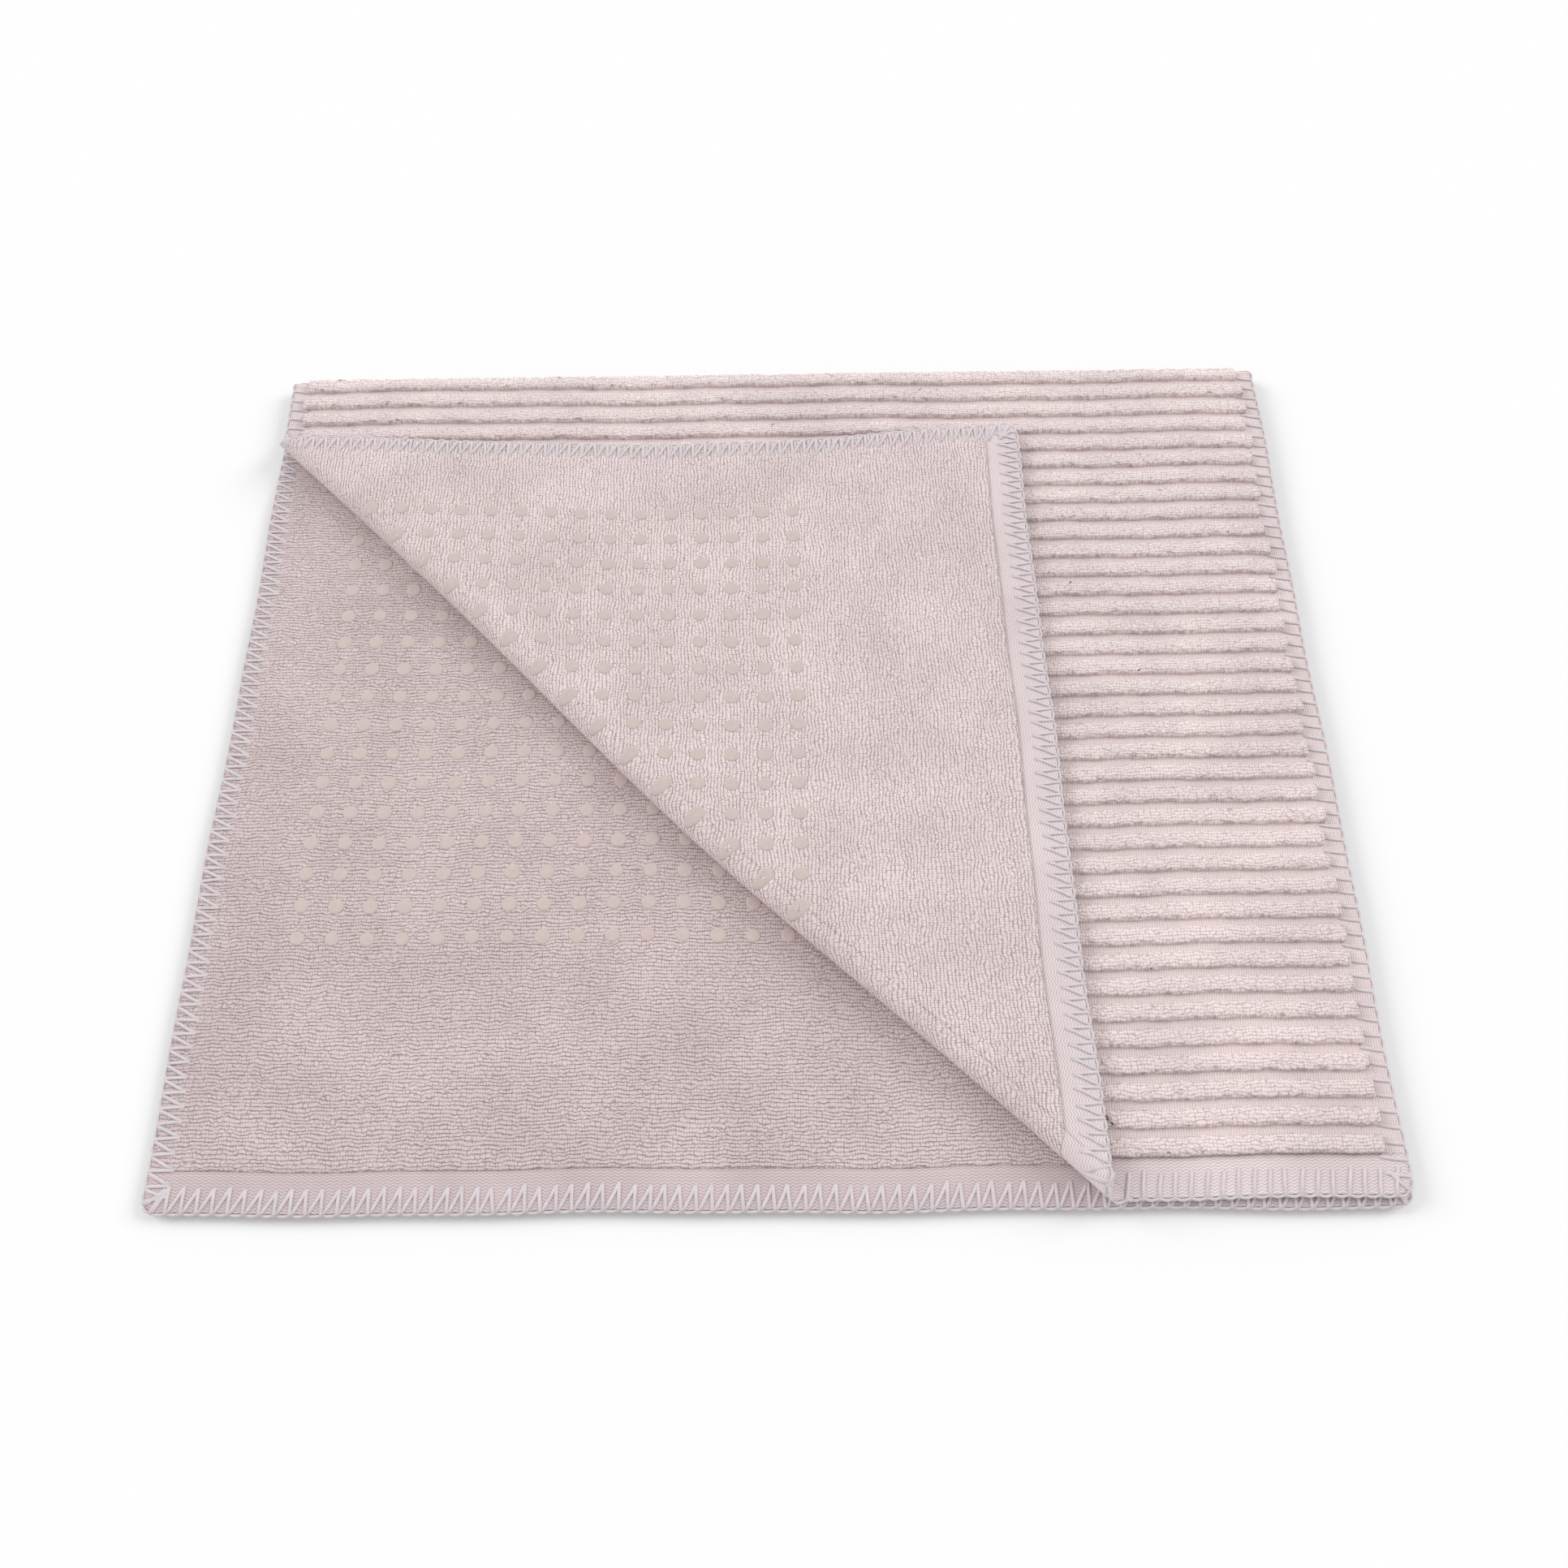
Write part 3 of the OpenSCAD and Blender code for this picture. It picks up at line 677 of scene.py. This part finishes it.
silicone, silicone_tree, silicone_shader = new_material("silicone", 0.5)
dot_map = node(silicone_tree, "UVMap", uv_map="cloth").outputs[0]
dot_place = vector(silicone_tree, "MULTIPLY", dot_map, (1000, 1000, 1000))
dot_tone = noise(silicone_tree, dot_place, 0.35, 3.0)[0]
silicone_tree.links.new(mix(silicone_tree, dot_tone, (0.575, 0.465, 0.44, 1), (0.66, 0.54, 0.515, 1)),
                        silicone_shader.inputs["Base Color"])
dot_relief = node(silicone_tree, "Bump", 0.6, 0.15 * MM)
silicone_tree.links.new(node(silicone_tree, "TexNoise", dot_place, None, 1.2, 2.0).outputs[0],
                        dot_relief.inputs["Height"])
silicone_tree.links.new(dot_relief.outputs[0], silicone_shader.inputs["Normal"])

DOT_D, DOT_PITCH_U, DOT_PITCH_V = 8.0, 18.1, 17.7   # diameter, and spacing across and along the mat
DOT_END = 136.5                                     # from the mat's end to the first row
DOT_COLS, DOT_ROWS, DOT_SIDES = 28, 21, 14
dot_u = (mat_w - (DOT_COLS - 1) * DOT_PITCH_U) / 2 + np.arange(DOT_COLS) * DOT_PITCH_U
dot_v = DOT_END + np.arange(DOT_ROWS) * DOT_PITCH_V
dot_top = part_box("lower_dots")[1].z / MM
# Rings of a dot: share of its radius, and height past the printed dot's top
dome = np.array([(1.0, -0.6), (1.0, -0.12), (0.9, 0.04), (0.55, 0.1)])
DOT_UNEVEN = 0.06     # dots differ in size by this share


def dots(name, centres):
    """Low domes: rings of points about each centre, closed by a cap above and one below."""
    turn = np.arange(DOT_SIDES) * 2 * np.pi / DOT_SIDES
    size = DOT_D / 2 * (1 + DOT_UNEVEN * chance.uniform(-1, 1, (len(centres), 1, 1)))
    points = np.empty((len(centres), len(dome), DOT_SIDES, 3))
    points[..., 0] = centres[:, None, None, 0] + size * dome[:, :1] * np.cos(turn)
    points[..., 1] = centres[:, None, None, 1] + size * dome[:, :1] * np.sin(turn)
    points[..., 2] = dot_top + dome[:, 1:]
    at = np.arange(points[..., 0].size).reshape(points.shape[:3])
    beside = np.roll(at, -1, 2)
    quads = np.stack([at[:, :-1], beside[:, :-1], beside[:, 1:], at[:, 1:]], -1).reshape(-1, 4)
    caps = np.concatenate([at[:, -1], at[:, 0, ::-1]])
    return new_piece(name, points.reshape(-1, 3), [quads, caps], [silicone])


lower_centres = np.stack(np.meshgrid(dot_u, dot_v), -1).reshape(-1, 2)
far_centres = np.stack(np.meshgrid(dot_u, mat_l - dot_v), -1).reshape(-1, 2)
from_fold = from_turn(far_centres[:, 0], far_centres[:, 1])
on_upper = from_fold > turn_in + DOT_D / 2
on_corner = from_fold < -turn_out - DOT_D / 2
for name, body, centres in (("lower", "lower_half", lower_centres),
                            ("upper", "upper_half", far_centres[on_upper]),
                            ("corner", "turned_corner", far_centres[on_corner])):
    piece = dots(name + "_silicone", centres)
    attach(piece, body)
    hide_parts(name + "_dots")
rolled_dots = dots("corner_fold_silicone", far_centres[~on_upper & ~on_corner])
bend_turn(rolled_dots)

# ---- Blanket stitch ----
# A thick pale yarn is worked round the whole edge. On the dotted side each stitch is a straight and
# a slanted leg, on the ribbed side one short bar, and along the edge the yarn loops from bar to bar.

edging, edging_tree, edging_shader = new_material("edging_yarn", 0.85, 0.2)
yarn_place = node(edging_tree, "TexCoord").outputs["Object"]
yarn_tone = node(edging_tree, "TexNoise", yarn_place, None, 260.0, 2.0).outputs[0]
edging_tree.links.new(mix(edging_tree, yarn_tone, (0.60, 0.545, 0.57, 1), (0.77, 0.70, 0.725, 1)),
                      edging_shader.inputs["Base Color"])
yarn_relief = node(edging_tree, "Bump", 0.8, 0.25 * MM)
edging_tree.links.new(node(edging_tree, "TexNoise", yarn_place, None, 900.0, 2.0).outputs[0],
                      yarn_relief.inputs["Height"])
edging_tree.links.new(yarn_relief.outputs[0], edging_shader.inputs["Normal"])

STITCH = 7.4                 # from one stitch to the next
MAT_CORNER, BENDS = 8.0, 8   # radius of the outline's corners, and steps round each
YARN_SIDES = 6               # sides of the yarn's rings
mid_z = (hem_low + hem_top) / 2


def edge_line():
    """The mat's outline from the front edge's left end, counterclockwise: distance, u, v, heading."""
    distance, u, v, heading = [0.0], [MAT_CORNER], [0.0], [0.0]
    for number, length in enumerate((mat_w, mat_l, mat_w, mat_l)):
        turn = number * np.pi / 2
        straight = length - 2 * MAT_CORNER
        distance.append(distance[-1] + straight)
        u.append(u[-1] + straight * np.cos(turn))
        v.append(v[-1] + straight * np.sin(turn))
        heading.append(turn)
        bend = np.linspace(0, np.pi / 2, BENDS + 1)[1:]
        centre = (u[-1] - MAT_CORNER * np.sin(turn), v[-1] + MAT_CORNER * np.cos(turn))
        distance += list(distance[-1] + MAT_CORNER * bend)
        u += list(centre[0] + MAT_CORNER * np.sin(turn + bend))
        v += list(centre[1] - MAT_CORNER * np.cos(turn + bend))
        heading += list(turn + bend)
    return np.array(distance), np.array(u), np.array(v), np.array(heading)


line_at, line_u, line_v, line_heading = edge_line()
outline = line_at[-1]


def on_edge(distance, along, inward, z):
    """Points of the open mat at distances round its outline, then along it, inward and at a height."""
    wrapped = np.mod(distance, outline)
    heading = np.interp(wrapped, line_at, line_heading)
    u = np.interp(wrapped, line_at, line_u) + along * np.cos(heading) - inward * np.sin(heading)
    v = np.interp(wrapped, line_at, line_v) + along * np.sin(heading) + inward * np.cos(heading)
    return np.stack([u, v, z + 0 * u], -1)


def yarn(path, reference, wide, thick):
    """Rings of an oval yarn along paths: wide along the reference direction, thick across it."""
    forward = np.gradient(path, axis=-2)
    forward /= np.linalg.norm(forward, axis=-1, keepdims=True)
    sideways = reference - (reference * forward).sum(-1, keepdims=True) * forward
    sideways /= np.linalg.norm(sideways, axis=-1, keepdims=True)
    upward = np.cross(forward, sideways)
    turn = -np.arange(YARN_SIDES) * 2 * np.pi / YARN_SIDES
    return (path[..., None, :] + wide / 2 * np.cos(turn)[:, None] * sideways[..., None, :]
            + thick / 2 * np.sin(turn)[:, None] * upward[..., None, :])


# A stitch's own places: along the edge, inward from it, and up from the middle of the cloth
straight_leg = np.array([
    (0.2, 12.9, 0.4), (0.2, 12.2, 1.05), (0.3, 7.5, 1.16), (0.6, 1.6, 1.1), (0.8, 0.2, 0.1),
    (0.8, 1.6, -1.1), (0.2, 6.0, -1.2), (-1.2, 12.4, -1.15), (-1.4, 13.2, -0.5)])
slanted_leg = np.array([(0.0, 12.6, 1.0), (-1.7, 8.6, 1.18), (-4.4, 3.6, 1.14), (-5.8, 0.9, 0.8)])
stitch_count = int(round(outline / STITCH))
pitch_round = outline / stitch_count
stitch_at = (np.arange(stitch_count) + 0.5) * pitch_round
SLANT_CHANCE, DEPTH_CHANCE = 0.45, 0.035   # how much hand-fed stitches differ
slant = chance.normal(0, SLANT_CHANCE, (stitch_count, 1))
depth_change = 1 + DEPTH_CHANCE * chance.normal(0, 1, (stitch_count, 1))
LEG = 13                     # a leg's full reach
YARN_W, YARN_T = 1.8, 0.85   # the yarn pressed flat in a leg
CORD_W, CORD_T = 1.7, 1.55   # and round in the edge cord
CORD_STEPS, LOOP_AT = 7, 0.8     # rings of the cord for each stitch, and where a leg goes round the edge
CORD_IN, CORD_LOOP = 1.5, 1.3    # the cord's place inside the outline, less this at each loop's bulge


def edging_rings(start, end, with_slanted=True):
    """Yarn of the stitches and of the looped edge cord between two distances round the outline."""
    if end < start:
        end += outline
    place = start + np.mod(stitch_at - start, outline)
    chosen = place < end
    made = []
    for leg in (straight_leg, slanted_leg) if with_slanted else (straight_leg,):
        at = place[chosen][:, None]
        reach = leg[:, 1] * depth_change[chosen]
        lean = leg[:, 0] + slant[chosen] * leg[:, 1] / LEG
        inside = np.clip(reach / LEG, 0, 1)   # a leg starts on the outline and ends across its stitch
        path = on_edge(at + lean * (1 - inside), lean * inside, reach, mid_z + leg[:, 2])
        reference = on_edge(at, 1.0, 0.0, 0.0) - on_edge(at, 0.0, 0.0, 0.0)
        made += list(yarn(path, reference + 0 * path, YARN_W, YARN_T))
    along = np.linspace(start, end, int((end - start) / pitch_round * CORD_STEPS) + 2)
    phase = np.pi * ((along - stitch_at[0] - LOOP_AT) / pitch_round)
    loop = np.abs(np.sin(phase)) ** 0.8
    path = on_edge(along, 0.0, CORD_IN - CORD_LOOP * loop, mid_z - 0.25 * (1 - loop))
    made.append(yarn(path, np.array([0.0, 0.0, 1.0]) + 0 * path, CORD_W, CORD_T))
    return made


def along_outline(side, value):
    """Distance round the outline to a place on a side: its u on an end, its v on a side edge."""
    starts = {"front": MAT_CORNER, "right": MAT_CORNER,
              "far": mat_w - MAT_CORNER, "left": mat_l - MAT_CORNER}
    number = list(starts).index(side)
    return line_at[(BENDS + 1) * number] + abs(value - starts[side])


# Where the edging is cut between one piece and the next, clear of the nearest stitches
side_start = bite + 0.3
fold_low, fold_high = lower_end - 0.6, upper_start + 0.6
turn_far_upper, turn_far_corner = turn_line(mat_l, turn_in), turn_line(mat_l, -turn_out - 14)
turn_left_upper = turn_v - (turn_in + 4.6) / -across[1]
turn_left_corner = turn_v + (turn_out + 9.5) / -across[1]
edge_groups = (
    ("lower_front", "lower_half", [("left", side_start, "right", side_start)]),
    ("lower_right", "lower_half", [("right", side_start, "right", fold_low)]),
    ("upper_right", "upper_half", [("right", fold_high, "right", mat_l - side_start)]),
    ("upper_front", "upper_half", [("right", mat_l - side_start, "far", turn_far_upper)]),
    ("corner_end", "turned_corner", [("far", turn_far_corner, "left", mat_l - side_start)]),
    ("corner_side", "turned_corner", [("left", mat_l - side_start, "left", turn_left_corner)]),
    ("upper_left", "upper_half", [("left", turn_left_upper, "left", fold_high)]),
    ("lower_left", "lower_half", [("left", fold_low, "left", side_start)]),
    ("back_fold", None, [("right", fold_low, "right", fold_high), ("left", fold_high, "left", fold_low)]),
    ("corner_fold", None, [("far", turn_far_upper, "far", turn_far_corner),
                           ("left", turn_left_corner, "left", turn_left_upper)]))

for name, body, spans in edge_groups:
    ringed = []
    for side_a, value_a, side_b, value_b in spans:
        start, end = along_outline(side_a, value_a), along_outline(side_b, value_b)
        ringed += edging_rings(start, end, name != "back_fold")
    piece = tubes(name + "_edging", ringed, edging)
    if body:
        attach(piece, body)
        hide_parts(name + "_stitches")
    elif name == "back_fold":
        bend_back(piece)
    else:
        bend_turn(piece)
